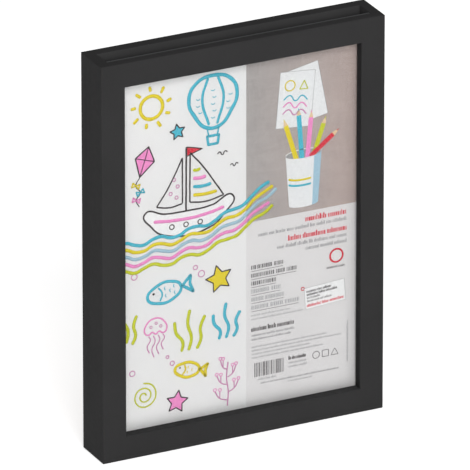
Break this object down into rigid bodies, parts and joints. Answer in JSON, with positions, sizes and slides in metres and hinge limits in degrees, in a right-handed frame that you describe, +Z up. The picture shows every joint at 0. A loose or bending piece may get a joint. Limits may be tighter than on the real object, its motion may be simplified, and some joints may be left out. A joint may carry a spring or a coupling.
{
  "type": "top-loading art frame",
  "caption": "Deep black box frame for A4 art, open along the top so sheets drop in behind clear acrylic; stands on its base or hangs on a wall.",
  "frame": {"origin": "middle of the underside of the bottom rail, which the frame stands on", "axes": "+X across the front to the viewer's right, +Y from the front face to the wall, +Z up"},
  "size_m": [0.24, 0.036, 0.328],
  "materials": {
    "black_lacquer": "MDF rails, smooth satin black lacquer",
    "clear_acrylic": "clear acrylic sheet, polished faces",
    "grey_board": "dense dark grey board, matt",
    "printed_paper": "white card printed in colour, matt",
    "brown_hardboard": "hardboard, smooth side out",
    "zinc_steel": "bright zinc-plated pressed steel",
    "dark_steel": "bare hardened steel of V nails and staples"
  },
  "bodies": {
    "frame": {"left_rail": "black_lacquer", "right_rail": "black_lacquer", "bottom_rail": "black_lacquer", "top_front_rail": "black_lacquer", "top_back_rail": "black_lacquer", "left_spacer": "grey_board", "right_spacer": "grey_board", "bottom_spacer": "grey_board", "back_panel": "brown_hardboard", "tab_rivet_left_lower": "zinc_steel", "tab_rivet_left_upper": "zinc_steel", "tab_rivet_right_lower": "zinc_steel", "tab_rivet_right_upper": "zinc_steel", "tab_rivet_top": "zinc_steel", "tab_rivet_bottom": "zinc_steel", "hanger_upright": "zinc_steel", "hanger_sideways": "zinc_steel", "hanger_rivet_upright_first": "zinc_steel", "hanger_rivet_upright_second": "zinc_steel", "hanger_rivet_sideways_first": "zinc_steel", "hanger_rivet_sideways_second": "zinc_steel", "v_nail_bottom_left_wall": "dark_steel", "v_nail_bottom_left_lip": "dark_steel", "v_nail_bottom_right_wall": "dark_steel", "v_nail_bottom_right_lip": "dark_steel", "v_nail_top_left_lip": "dark_steel", "v_nail_top_right_lip": "dark_steel", "staple_left_lower": "dark_steel", "staple_left_upper": "dark_steel", "staple_right_lower": "dark_steel", "staple_right_upper": "dark_steel"},
    "glazing": {"glazing": "clear_acrylic"},
    "sheet": {"insert_sheet": "printed_paper"},
    "tab_left_lower": {"turn_tab_left_lower": "zinc_steel"},
    "tab_left_upper": {"turn_tab_left_upper": "zinc_steel"},
    "tab_right_lower": {"turn_tab_right_lower": "zinc_steel"},
    "tab_right_upper": {"turn_tab_right_upper": "zinc_steel"},
    "tab_top": {"turn_tab_top": "zinc_steel"},
    "tab_bottom": {"turn_tab_bottom": "zinc_steel"}
  },
  "joints": [
    {"name": "sheet_slide", "type": "slide", "parent": "frame", "child": "sheet", "axis": [0, 0, 1], "range_m": [0, 0.32]},
    {"name": "glazing_slide", "type": "slide", "parent": "frame", "child": "glazing", "axis": [0, 0, 1], "range_m": [0, 0.325]},
    {"name": "tab_left_lower_turn", "type": "hinge", "parent": "frame", "child": "tab_left_lower", "pos_m": [-0.1005, 0.0137, 0.08054], "axis": [0, 1, 0], "continuous": true},
    {"name": "tab_left_upper_turn", "type": "hinge", "parent": "frame", "child": "tab_left_upper", "pos_m": [-0.1005, 0.0137, 0.23596], "axis": [0, 1, 0], "continuous": true},
    {"name": "tab_right_lower_turn", "type": "hinge", "parent": "frame", "child": "tab_right_lower", "pos_m": [0.1005, 0.0137, 0.08054], "axis": [0, 1, 0], "continuous": true},
    {"name": "tab_right_upper_turn", "type": "hinge", "parent": "frame", "child": "tab_right_upper", "pos_m": [0.1005, 0.0137, 0.23596], "axis": [0, 1, 0], "continuous": true},
    {"name": "tab_top_turn", "type": "hinge", "parent": "frame", "child": "tab_top", "pos_m": [0, 0.0137, 0.297], "axis": [0, 1, 0], "continuous": true},
    {"name": "tab_bottom_turn", "type": "hinge", "parent": "frame", "child": "tab_bottom", "pos_m": [0, 0.0137, 0.0195], "axis": [0, 1, 0], "continuous": true}
  ]
}
